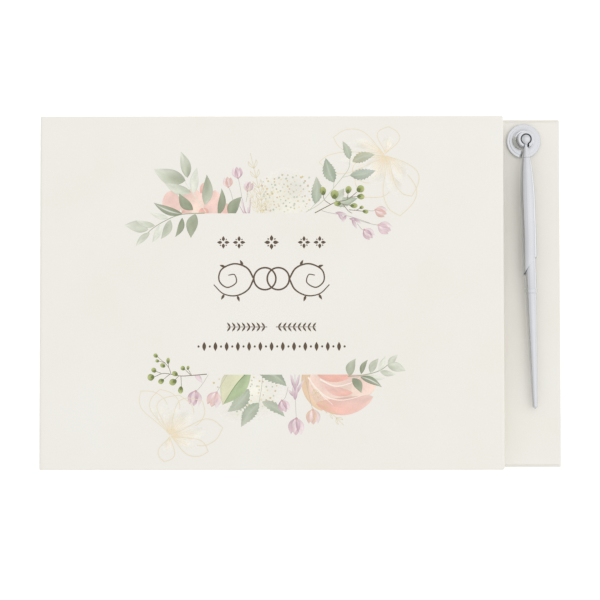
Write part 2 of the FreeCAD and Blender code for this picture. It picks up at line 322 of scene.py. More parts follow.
def slab_faces(rows, columns, first):
    """Faces that close the space between two equal grids of points, one listed after the other."""
    count = rows * columns
    faces = rows_joined(rows, columns, looped=False, first=first)
    faces += [tuple(n + count for n in reversed(face)) for face in faces]
    rim = list(range(columns))
    rim += [row * columns + columns - 1 for row in range(1, rows)]
    rim += [(rows - 1) * columns + n for n in range(columns - 2, -1, -1)]
    rim += [row * columns for row in range(rows - 2, 0, -1)]
    for near, far in zip(rim, rim[1:] + rim[:1]):
        faces.append((first + far, first + near, first + near + count, first + far + count))
    return faces


def quarter(steps):
    """Angles over a quarter turn."""
    return np.linspace(0, math.pi / 2, steps + 1)


# The case

FLAP_SIDE = 1.3  # the fore-edge flap's sides lie this far inside head and tail
FLAP_STEP = 0.06  # how much lower the wrap lies outside them
CREASE = 0.36  # depth of the line along the flap's sides
CREASE_HALF = 0.16  # half its width
CORNER = 0.9
EDGE = 0.8  # rounding of the boards' edges
GAP = 0.02  # between layers of the wrap


def plan_row(end, side_inset, end_inset, corner):
    """Places along a cover's three wrapped edges, as (x, y, share that belongs to head or tail)."""
    side, stop = HEAD - side_inset, end - end_inset
    turn = [
        (stop - corner + corner * math.sin(a), corner - corner * math.cos(a), math.cos(a) ** 2)
        for a in quarter(6)
    ]
    tail = [(BOARD_EDGE, -side, 1.0)] + [(x, y - side, share) for x, y, share in turn]
    return tail + [(x, -y, share) for x, y, share in reversed(tail)]


def cover_shell(end, turn_in):
    """Leatherette round a board, outer face at depth 0: skin, rounded edges, flaps on the inside."""
    levels = [(EDGE + 0.6, EDGE + 0.6, 0.0, 0.0)]
    for angle in quarter(5):
        inset = EDGE * (1 - math.sin(angle))
        levels.append((inset, inset, EDGE * (1 - math.cos(angle)), 0.0))
    for angle in quarter(5):
        inset = EDGE * (1 - math.cos(angle))
        levels.append((inset, inset, COVER - EDGE * (1 - math.sin(angle)), FLAP_STEP))
    levels += [
        (FLAP_SIDE - CREASE_HALF, EDGE + 0.2, COVER, FLAP_STEP),
        (FLAP_SIDE, EDGE + 0.3, COVER, CREASE),
        (FLAP_SIDE + CREASE_HALF, EDGE + 0.4, COVER, 0.0),
        (TURN_IN, turn_in, COVER, 0.0),
        (TURN_IN, turn_in, COVER - SKIN, 0.0),
        (SKIN, SKIN, COVER - SKIN, 0.0),
        (SKIN, SKIN, SKIN, 0.0),
    ]
    points = []
    for side_inset, end_inset, depth, step in levels:
        corner = max(CORNER - end_inset, 0.25)
        for x, y, share in plan_row(end, side_inset, end_inset, corner):
            points.append((x, y, depth - step * share))
    columns = len(points) // len(levels)
    faces = rows_joined(len(levels), columns, looped=False)
    starts = [row * columns for row in range(len(levels))]
    spine_side = tuple(starts + [start + columns - 1 for start in reversed(starts)])
    return points, faces + [tuple(range(columns)), tuple(range(starts[-1], len(points))), spine_side]


def cover_wraps():
    """The wrap on either cover. The front one is the back one's shape turned over."""
    for name, node, body, end, turn_in, height in (
        ("wrap_back_cover", "back_cover_wrap", "back_cover", LEDGE, LEDGE_TURN_IN, lambda z: z),
        ("wrap_front_cover", "front_cover_wrap", "front_cover", FORE, TURN_IN, lambda z: TOP - z),
    ):
        points, faces = cover_shell(end, turn_in)
        mesh = mesh_from(name, [(x, y, height(z)) for x, y, z in points], faces)
        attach(new_piece(name, mesh, LEATHERETTE, [node]), body)


def fold_section(thick):
    """Section across the wrap at a joint or the spine, as (y, depth): skin with a flap at each end."""
    edge = min(EDGE, thick * 0.48)
    half = [(HEAD - edge + edge * math.sin(a), edge - edge * math.cos(a)) for a in quarter(4)]
    half += [(HEAD - edge + edge * math.cos(a), thick - edge + edge * math.sin(a)) for a in quarter(4)]
    inner = SKIN + GAP
    half += [(HEAD - TURN_IN, thick), (HEAD - TURN_IN, thick - SKIN), (HEAD - inner, thick - SKIN)]
    half += [(HEAD - inner, SKIN)]
    return half + [(-y, depth) for y, depth in reversed(half)]


def joint_points():
    """The wrap from the back board's edge round the joint and up to the middle of the spine."""
    centre = SPINE + FOLD
    double = 2 * (SKIN + GAP)
    path = [(BOARD_EDGE, 0.0, 0.0, double), (SPINE + SPINE_THICK, 0.0, 0.0, double)]
    for angle in quarter(8):
        x, z = centre - FOLD * math.sin(angle), FOLD - FOLD * math.cos(angle)
        path.append((x, z, angle, double))
    right_angle = math.pi / 2
    path.append((SPINE, COVER - 0.05, right_angle, double))
    path.append((SPINE, COVER, right_angle, SPINE_THICK))
    path += [(SPINE, z, right_angle, SPINE_THICK) for z in np.linspace(COVER, TOP / 2, 5)[1:]]
    points = []
    for x, z, angle, thick in path:
        for y, depth in fold_section(thick):
            points.append((x + depth * math.sin(angle), y, z + depth * math.cos(angle)))
    return points, len(path)


def joint_wraps():
    """The strips of the wrap at the joints: one from the back cover to mid-spine, one on to the front."""
    points, rows = joint_points()
    columns = len(points) // rows
    faces = rows_joined(rows, columns, looped=True)
    faces += [tuple(range(columns)), tuple(range(len(points) - columns, len(points)))]
    flat, upright = (BOARD_EDGE, 0.0), (SPINE, COVER)
    strips = (
        ("wrap_back_joint", ("back_cover", "spine"), lambda z: z, ["spine_wrap"]),
        ("wrap_front_joint", ("front_cover", "spine"), lambda z: TOP - z, []),
    )
    for name, (cover, spine), height, replaced in strips:
        mesh = mesh_from(name, [(x, y, height(z)) for x, y, z in points], faces)
        strip = new_piece(name, mesh, LEATHERETTE, replaced)
        on_cover = Vector((flat[0], 0, height(flat[1]))) * MM
        on_spine = Vector((upright[0], 0, height(upright[1]))) * MM
        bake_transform(strip)


# The text block

LEAVES = 12  # in one section
BEND = 17.0  # the leaves get extra rows over this much of their width next to the spine
FOLD_DEPTH = 0.5  # how far the outer leaves of a section stand back at its fold
TRIM = 0.09  # unevenness of the leaves' edges
PAPER_SHARE = 0.93  # of the pitch of the leaves, the rest being air


def paper_stack(name, node, leaves, random):
    """Thin leaves one on another, trimmed a little unevenly, rounded where they are folded."""
    low, high = node_box(node)
    pitch = (high.z - low.z) / leaves
    along = np.concatenate([np.linspace(0, BEND, 15), [high.x - low.x]])
    points, faces = [], []
    for leaf in range(leaves):
        base = low.z + leaf * pitch
        middle = (leaf + 0.5) / leaves * 2 - 1 if leaves > 1 else 0
        inset = FOLD_DEPTH * (1 - math.sqrt(1 - 0.9 * middle**2))
        trim = random.uniform(0, TRIM, 3)
        first = len(points)
        for z in (base, base + pitch * PAPER_SHARE):
            for step in along:
                x = low.x + max(step, inset) if step < BEND else low.x + step
                x -= trim[0] if step == along[-1] else 0
                points += [(x, low.y + trim[1], z), (x, high.y - trim[2], z)]
        faces += slab_faces(len(along), 2, first)
    return mesh_from(name, points, faces)


def text_block():
    random = np.random.default_rng(7)
    stacks = [("front_flyleaf", "front_leaf", 1, "endpaper")]
    stacks += [(f"signature_{n}", f"section_{n}", LEAVES, "page_paper") for n in range(1, 9)]
    stacks += [("back_flyleaf", "back_leaf", 1, "endpaper")]
    for node, body, leaves, slot in stacks:
        name = node.replace("signature", "section_pages").replace("flyleaf", "flyleaf_sheet")
        mesh = paper_stack(name, node, leaves, random)
        stack = new_piece(name, mesh, MATERIALS[slot], [node])
        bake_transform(stack)


# The print. Places are millimetres from the spine's outer face and from the middle of the cover.

FILM = 0.012  # how far the lowest ink stands off the cover
LIFT = 0.0012  # and how much a shape lies above the ones that it overlaps
TOOTH = 0.26  # depth of a serrated leaf's teeth, as a share of its width
RIB = 0.16  # half of a rib's width, as a share of the leaf's


def smooth_path(stops, steps):
    """A curve through the stops, as a row of points."""
    stops = np.asarray(stops, float)
    ends = np.vstack([2 * stops[0] - stops[1], stops, 2 * stops[-1] - stops[-2]])
    path = []
    for n in range(len(stops) - 1):
        a, b, c, d = ends[n : n + 4]
        for t in np.linspace(0, 1, steps, endpoint=False):
            square, cube = t * t, t**3
            spread = (2 * a - 5 * b + 4 * c - d) * square + (3 * b - a - 3 * c + d) * cube
            path.append(0.5 * (2 * b + (c - a) * t + spread))
    return np.array(path + [stops[-1]])


def faded(first, second, share):
    """Colours turned from first to second, by a share at each point of a grid."""
    return np.array(first) * (1 - share[..., None]) + np.array(second) * share[..., None]


class Ink:
    """Printed shapes, gathered as thin closed plates with a colour at every point."""

    def __init__(self, seed):
        self.points = []
        self.colours = []
        self.faces = []
        self.layers = []  # each plate's lowest and highest place, and its height
        self.random = np.random.default_rng(seed)

    def height_over(self, places):
        """A height just above every plate that these places may overlap."""
        low, high = places.min(axis=0), places.max(axis=0)
        below = [z for near, far, z in self.layers if (near <= high).all() and (far >= low).all()]
        height = max(below, default=TOP + FILM) + LIFT
        self.layers.append((low, high, height))
        return height

    def plate(self, grid, colours):
        """A plate over a grid of places, rows by columns, closed underneath and round its rim."""
        rows, columns = grid.shape[:2]
        first = len(self.points)
        places = grid.reshape(-1, 2) + (SPINE, 0)
        for z in (self.height_over(places), TOP - FILM):
            self.points += [(x, y, z) for x, y in places]
            self.colours += [(*c, 1) for c in np.clip(colours, 0, 1).reshape(-1, 3)]
        self.faces += slab_faces(rows, columns, first)

    def leaf(self, foot, tip, width, colour, tip_colour=None, bend=0.0, teeth=0, widest=0.42,
             full=1.0, rib=None, edge=0.1, soft=0.0, rows=22, columns=9):
        """A leaf or petal. Full under 1 rounds its ends off, rib colours its middle, and soft
        fades it into the cover from that share of its reach outwards."""
        foot, tip = np.asarray(foot, float), np.asarray(tip, float)
        tip_colour = colour if tip_colour is None else tip_colour
        rows = rows if not teeth else teeth * 6 + 1
        t = np.linspace(0, 1, rows)[:, None]
        s = np.linspace(-1, 1, columns)[None, :]
        axis = tip - foot
        length = np.hypot(*axis)
        side = np.array((-axis[1], axis[0])) / length
        sweep = 4 * bend * length * t * (1 - t)
        half = width / 2 * np.sin(np.pi * t ** (math.log(0.5) / math.log(widest))) ** full
        if teeth:
            half = half * (1 - TOOTH * ((t * teeth) % 1) ** 0.7)
        half = np.maximum(half, 0.04)
        centre = foot + axis * t + side * sweep
        grid = centre[:, None, :] + (side * half)[:, None, :] * s[..., None]
        phase = self.random.uniform(0, 2 * math.pi, 4)
        wash = 0.05 * np.sin(5 * t + 1.5 * s + phase[0]) + 0.035 * np.sin(9 * t - 3 * s + phase[1])
        wash = wash + 0.025 * np.sin(14 * t + 5 * s + phase[2]) - edge * np.abs(s) ** 7
        wash = wash + 0.04 * np.sign(np.sin(phase[3])) * np.tanh(3 * s)
        blend = np.clip(t + 0.15 * np.sin(3 * s + phase[0]), 0, 1)
        tones = faded(srgb(*colour), srgb(*tip_colour), blend) * (1 + wash[..., None])
        if rib:
            tones = faded(tones, srgb(*rib), np.exp(-((s / RIB) ** 2)) * np.sin(np.pi * t) ** 0.5)
        if soft:
            reach = np.maximum(np.abs(s), np.abs(2 * t - 1))
            tones = faded(tones, IVORY, np.clip((reach - 1 + soft) / soft, 0, 1))
        self.plate(grid, tones)

    def leaves(self, table, **looks):
        """Leaves as (foot x, foot y, tip x, tip y, width, colour, tip colour, bend, teeth)."""
        for x, y, tip_x, tip_y, *shape in table:
            self.leaf((x, y), (tip_x, tip_y), *shape, **looks)

    def line(self, stops, width, colour, tip_width=None, steps=8):
        """A stroke along a smooth curve, from width at its start to tip_width at its end."""
        path = smooth_path(stops, steps)
        heading = np.gradient(path, axis=0)
        heading /= np.maximum(np.hypot(heading[:, 0], heading[:, 1]), 1e-9)[:, None]
        side = np.stack([-heading[:, 1], heading[:, 0]], axis=1)
        taper = np.linspace(width, width if tip_width is None else tip_width, len(path))
        half = (taper / 2)[:, None]
        grid = np.stack([path + side * half, path - side * half], axis=1)
        self.plate(grid, np.broadcast_to(srgb(*colour), (len(path), 2, 3)))

    def mesh(self, name, cut=None, above=True):
        """The plates as one mesh, cropped along y = cut, keeping what lies above or below it."""
        mesh = mesh_from(name, self.points, self.faces)
        attribute = mesh.color_attributes.new("Ink", "FLOAT_COLOR", "POINT")
        attribute.data.foreach_set("color", np.array(self.colours, np.float32).ravel())
        if cut is None:
            return mesh

        def crop(work):
            plane = {"plane_co": (0, cut * MM, 0), "plane_no": (0, -1 if above else 1, 0)}
            everything = work.verts[:] + work.edges[:] + work.faces[:]
            cropped = bmesh.ops.bisect_plane(work, geom=everything, clear_outer=True, **plane)
            rim = [e for e in cropped["geom_cut"] if isinstance(e, bmesh.types.BMEdge)]
            bmesh.ops.holes_fill(work, edges=rim)

        return edited(mesh, crop)


# Pigments, as they look on the cover
SAGE = (0.745, 0.762, 0.69)
SAGE_PALE = (0.855, 0.865, 0.81)
MOSS = (0.64, 0.665, 0.575)
FOREST = (0.535, 0.565, 0.47)
SPRUCE = (0.64, 0.68, 0.605)
MIST = (0.715, 0.74, 0.705)
OLIVE = (0.70, 0.695, 0.585)
BLUSH = (0.915, 0.79, 0.75)
CORAL = (0.885, 0.69, 0.635)
PEACH = (0.915, 0.835, 0.775)
APRICOT = (0.875, 0.765, 0.65)
LILAC = (0.85, 0.755, 0.775)
LILAC_DEEP = (0.72, 0.60, 0.65)
LILAC_PALE = (0.91, 0.86, 0.865)
ROSE = (0.865, 0.745, 0.705)
ROSE_DEEP = (0.84, 0.68, 0.64)
STEM_GREY = (0.72, 0.705, 0.68)
TWIG = (0.46, 0.405, 0.335)
BERRY = (0.72, 0.75, 0.50)
BERRY_DARK = (0.43, 0.47, 0.27)
GOLD = (0.88, 0.835, 0.72)
GOLD_DEEP = (0.825, 0.765, 0.60)
GOLD_PEACH = (0.925, 0.855, 0.76)
PETAL_TINT = (0.915, 0.885, 0.835)
STRAW = (0.895, 0.885, 0.835)
SEPIA = (0.36, 0.295, 0.23)

PETAL_WIDEST = 0.64  # where a gold petal is widest, as a share of its length
VEIN_REACH = 0.58  # how far its veins run, as a share of its length
DOT_PITCH = 1.5  # least distance between seed dots


def heading(degrees):
    return np.array((math.cos(math.radians(degrees)), math.sin(math.radians(degrees))))


def bud(ink, place, size, facing, colour, deep, *stem):
    """A half-open flower seen from the side: overlapping petals on a small calyx and a thin stem."""
    place = np.array(place)
    ink.line([*stem, place - heading(facing) * size * 0.5], 0.22, STEM_GREY)
    foot = place - heading(facing) * size * 0.6
    for spread, reach, breadth, tone, tip_tone in (
        (0, 1.2, 0.62, deep, colour), (17, 1.2, 0.5, colour, LILAC_PALE),
        (-17, 1.16, 0.5, deep, colour), (-6, 1.1, 0.42, LILAC_PALE, colour),
        (9, 0.95, 0.3, colour, deep),
    ):
        tip = foot + heading(facing + spread) * reach * size
        ink.leaf(foot, tip, size * breadth, tone, tip_tone, bend=0.006 * spread, widest=0.5,
                 full=0.85, edge=0.14, rows=16, columns=7)
    ink.leaf(foot - heading(facing) * 0.3, foot + heading(facing) * size * 0.2, size * 0.2,
             deep, ROSE_DEEP, rows=10, columns=5)


def buds(ink, rows):
    """Several buds, each as the rest of a bud's values."""
    for row in rows:
        bud(ink, *row)


def florets(ink, width, rows):
    """Small lilac petals, each as (foot x, foot y, tip x, tip y)."""
    ink.leaves([(*row, width, LILAC_DEEP, LILAC_PALE) for row in rows], rows=10, columns=5)


def berry(ink, place, width, height, facing):
    """A ripening berry with a dark calyx where it meets its stalk."""
    place, along = np.array(place), heading(facing)
    foot = place - along * height / 2
    ink.leaf(foot, place + along * height / 2, width, BERRY_DARK, BERRY, widest=0.55, full=0.5,
             edge=0.2, rows=14)
    tip = place + along * height * 0.05
    ink.leaf(foot, tip, width * 0.6, BERRY_DARK, widest=0.35, rows=8, columns=5)


def twig(ink, stops, side_stops, berries):
    """Dark woody stem with side stalks, and berries as (x, y, width, height, facing)."""
    ink.line(stops, 0.42, TWIG, 0.25)
    for stalk in side_stops:
        ink.line(stalk, 0.26, TWIG, 0.2)
    for x, y, width, height, facing in berries:
        berry(ink, (x, y), width, height, facing)


def fern(ink, stops, colour, leaves, size):
    """Line-drawn grass: a stem with slim open leaves to both sides."""
    ink.line(stops, 0.26, colour, 0.16)
    path = smooth_path(stops, 12)
    for n in range(leaves):
        start = int(len(path) * (0.12 + 0.82 * n / leaves))
        at, after = path[start], path[min(start + 3, len(path) - 1)]
        direction = math.degrees(math.atan2(*(after - at)[::-1]))
        for side in (-1, 1):
            tip = at + heading(direction + side * 27) * size
            bow = heading(direction + side * 62) * size * 0.36
            ink.line([at, at + bow + (tip - at) * 0.3, tip], 0.17, colour)
            ink.line([at, (at + tip) / 2 - bow * 0.1, tip], 0.17, colour)


def open_petal(ink, heart, direction, reach, width, bend, veins):
    """A petal in gold line: a faint tint, its outline, and fine veins that fan out from its foot."""
    foot, tip = heart + heading(direction) * 0.6, heart + heading(direction) * reach
    axis = tip - foot
    length = np.hypot(*axis)
    side = np.array((-axis[1], axis[0])) / length
    ink.leaf(foot, foot + axis * 0.7, width * 0.6, PETAL_TINT, STRAW, bend, widest=0.6, full=0.75,
             edge=0.0, soft=0.9)

    def sweep(t):
        return 4 * bend * length * t * (1 - t)

    def half(t):
        return width / 2 * np.sin(np.pi * t ** (math.log(0.5) / math.log(PETAL_WIDEST))) ** 0.75

    t = np.linspace(0, 1, 9)
    for sign in (-1, 1):
        ripple = 0.012 * reach * np.sin(11 * t) * t
        edge = foot + np.outer(t, axis) + np.outer(sweep(t) + sign * half(t) + ripple, side)
        ink.line(edge, 0.32, GOLD, steps=5)
    for n in range(veins):
        share = (n + 0.5) / veins * 2 - 1
        run = t[:7] * VEIN_REACH * (1 - 0.35 * abs(share) + 0.25 * ink.random.uniform())
        vein = foot + np.outer(run, axis) + np.outer(share * half(run) * 0.85 + sweep(run), side)
        ink.line(vein, 0.3, GOLD_PEACH if n % 2 else GOLD, 0.14, steps=3)


def gold_blossom(ink, heart, petals):
    """An open flower in fine gold line, with petals as (direction, length, width, bend, veins)."""
    for petal in petals:
        open_petal(ink, np.array(heart), *petal)


def sprinkle(ink, low, high, count, bound):
    """Seed dots in gold, olive and brown, no nearer to each other than their own size."""
    tones = (GOLD_DEEP, SAGE, (0.80, 0.735, 0.635), (0.80, 0.815, 0.75), GOLD)
    spots = []
    while len(spots) < count:
        spot = ink.random.uniform(low, high)
        if bound(*spot) and all(np.hypot(*(spot - other)) > DOT_PITCH for other in spots):
            spots.append(spot)
    for n, spot in enumerate(spots):
        size = ink.random.uniform(0.75, 1.25)
        turn = ink.random.uniform(0, 180)
        tip = spot + heading(turn) * size
        ink.leaf(spot, tip, size * 0.9, tones[n % len(tones)], full=0.5, widest=0.5, rows=9, columns=7)


def gapped_leaf(ink, foot, tip, width, bend):
    """A dark folded leaf with the paper left bare between its halves."""
    ink.leaf(foot, tip, width, FOREST, MOSS, bend, rib=(0.88, 0.885, 0.85), edge=0.2)


def upper_band(name):
    """The upper garland: cropped straight below, with foliage and a gold blossom running past it."""
    line = 40.3
    back = Ink(seed=11)
    back.leaf((124, 30), (125, 64), 31, STRAW, full=0.5, widest=0.5, edge=0.0, soft=0.8)
    back.leaves((
        (68, 37, 66.5, 51.8, 9.5, BLUSH, BLUSH), (78, 36, 77.5, 53, 13, PEACH, BLUSH),
        (82, 50.5, 85.5, 56, 4.4, CORAL, BLUSH), (86.5, 36, 89.5, 52, 8.6, BLUSH, BLUSH),
        (93, 37, 95.2, 45.5, 5.0, CORAL, BLUSH), (72, 38, 77, 42.6, 4.6, CORAL, BLUSH),
        (81, 38.5, 85.5, 42.4, 5.0, CORAL, CORAL),
    ), full=0.55, widest=0.55, edge=0.05)
    back.line([(84.5, 41), (79.5, 48.5), (74.5, 55.5), (73.6, 59)], 0.35, SAGE_PALE)
    back.leaves((
        (78.5, 50.5, 80, 63.8, 4.5, SAGE_PALE, SAGE_PALE, 0.04),
        (74.2, 57, 58, 63, 8.2, MOSS, SAGE_PALE, 0.06),
        (75.2, 58.5, 71.8, 71.8, 5.2, MOSS, SAGE_PALE, -0.05),
        (77, 51, 63.5, 55.8, 5.0, SAGE, SAGE_PALE, 0.06), (84.2, 44.5, 85, 60, 5.4, SAGE, MOSS, -0.06),
        (78, 42, 71, 50.5, 5.0, FOREST, MOSS, 0.1), (91, 39.5, 92.6, 53, 3.9, FOREST, MOSS, -0.08),
        (97, 38, 103, 48.8, 5.6, FOREST, MOSS, 0.12),
    ))
    buds(back, (
        ((95.8, 56.2), 4.6, 95, ROSE, ROSE_DEEP, (98.5, 46.5), (97.3, 51)),
        ((100.6, 61), 5.0, 98, LILAC, LILAC_DEEP, (102.8, 49), (101.8, 55)),
        ((106.4, 54), 4.4, 75, LILAC, LILAC_DEEP, (105, 46), (105.8, 50)),
    ))
    for n in range(9):
        foot = (104 + 0.35 * n, 40)
        tip = (101.5 + 0.75 * n, 44.5 + 4 * math.sin(n))
        back.line([foot, tip], 0.35, LILAC if n % 2 else LILAC_DEEP, 0.15)
    fern(back, [(112, 39), (113, 46), (110.8, 56), (107.2, 71)], GOLD_DEEP, 7, 4.6)
    fern(back, [(111.5, 39), (109.5, 46), (105, 55.5)], GOLD, 5, 4.2)
    fern(back, [(112, 39), (116, 45), (117.5, 53)], GOLD, 4, 4.2)
    sprinkle(back, (113, 41), (137, 60), 96, lambda x, y: y < 59.5 - ((x - 126) / 9) ** 2)

    free = Ink(seed=12)
    free.layers = back.layers
    free.line([(84, 40.4), (72, 39.7), (64, 36.6), (57, 32.2), (52, 27)], 0.5, MOSS, 0.3)
    free.leaves((
        (55.2, 32, 43.2, 34.4, 5.9, SAGE, SAGE_PALE, -0.05),
        (56, 30.5, 49, 23.5, 3.1, SAGE, SAGE_PALE, -0.05),
        (58.7, 34, 49, 36.8, 3.2, SAGE, SAGE_PALE, 0.06),
        (61.3, 34.5, 57.3, 25.5, 3.4, SAGE_PALE, SAGE_PALE, 0.06),
        (66.6, 37, 61.8, 27.3, 4.2, SAGE, SAGE, 0.07),
        (65.5, 38, 56.5, 40.4, 2.8, SAGE_PALE, SAGE_PALE, 0.04),
        (72.6, 38, 69, 28.3, 3.2, FOREST, MOSS, 0.1), (79.2, 40, 77, 27.8, 5.8, MOSS, MOSS, -0.06),
    ))
    gapped_leaf(free, (72.6, 40), (58, 45.8), 4.2, 0.07)
    gold_blossom(free, (176, 70), (
        (162, 28, 12, -0.08, 6), (187, 34, 11, 0.04, 4), (84, 14.5, 11.5, -0.05, 4),
        (214, 20, 13, 0.06, 7), (245, 24, 19, 0.0, 13), (284, 32, 17, 0.08, 12), (303, 25, 13, 0.1, 7),
    ))
    stalk = (0.76, 0.77, 0.70)
    for stops, width in (
        ([(135.4, 40.8), (143, 45.5), (149.5, 53), (154, 58.5), (157.2, 63), (158, 68)], 0.32),
        ([(137.5, 42), (140.2, 45.2)], 0.3),
        ([(154, 58.5), (158.4, 59.6)], 0.25),
        ([(149.5, 53), (149.8, 56.4)], 0.25),
    ):
        free.line(stops, width, stalk)
    free.leaves((
        (140.2, 45, 140.8, 59, 6.4, SPRUCE, SAGE, -0.05, 9),
        (149.8, 56, 145.6, 68.4, 7.2, SPRUCE, SPRUCE, 0.05, 9),
        (157.8, 67.8, 154.2, 77, 4.4, SPRUCE, SAGE, -0.05, 7),
        (159.2, 66.6, 170.6, 70.2, 5.8, OLIVE, SAGE, 0.06, 8),
        (158, 59.6, 171, 62, 6.2, SPRUCE, MIST, -0.05, 8),
        (151, 44, 161.8, 47.8, 5.2, SAGE, SPRUCE, 0.04, 7),
        (150, 45.5, 155, 53, 5.4, SAGE_PALE, SAGE, 0.0, 6),
    ), rib=(0.735, 0.765, 0.70))
    stalks = (
        [(148, 44.8), (145, 47), (144.2, 50)], [(151, 46), (150.3, 48.5)], [(156.5, 47.2), (157, 50.5)],
        [(158, 48.5), (162, 48.8)], [(151, 45.6), (156, 44.6), (158.5, 44.2)],
        [(154, 45.2), (157, 41.5), (159, 40.2)], [(157.4, 42), (161, 41.8), (163.2, 43)],
        [(160, 41.9), (164.5, 41.2)],
    )
    berries = (
        (144.2, 51.6, 3.1, 4.4, 100), (150.1, 49.8, 4.1, 4.8, 85), (157.1, 52.2, 3.1, 4.0, 75),
        (163.2, 52.6, 3.7, 4.2, 30), (163.4, 48.7, 2.8, 3.9, 355), (151.6, 45.2, 2.6, 3.6, 180),
        (159.9, 44.1, 2.5, 3.8, 0), (163.8, 43.2, 1.7, 2.2, 20), (165.8, 41.1, 2.0, 3.0, 350),
    )
    twig(free, [(140, 40.4), (146, 43.6), (151, 46), (156.5, 47.2), (161.4, 51)], stalks, berries)
    free.line([(143.5, 41.6), (148, 40.4), (158, 38.6), (168, 35.2)], 0.22, STEM_GREY)
    florets(free, 1.7, (
        (152, 40.4, 155, 35.8), (150.5, 40.6, 156.5, 39.6), (156, 39, 153.6, 35.9),
        (157.5, 37.5, 163.4, 36.6), (160, 37.6, 163.5, 35), (159, 37, 161.4, 32.4),
    ))
    buds(free, (
        ((173.6, 41), 5.2, 340, ROSE, ROSE_DEEP, (166, 42), (169, 41.4)),
        ((175.4, 32.8), 6.0, 335, LILAC, LILAC, (160.5, 37.2), (168, 35)),
        ((167.2, 29.8), 5.2, 315, LILAC, LILAC_DEEP, (161.5, 35), (164, 32)),
    ))
    return [back.mesh(name + "_cropped", cut=line, above=True), free.mesh(name + "_free")]


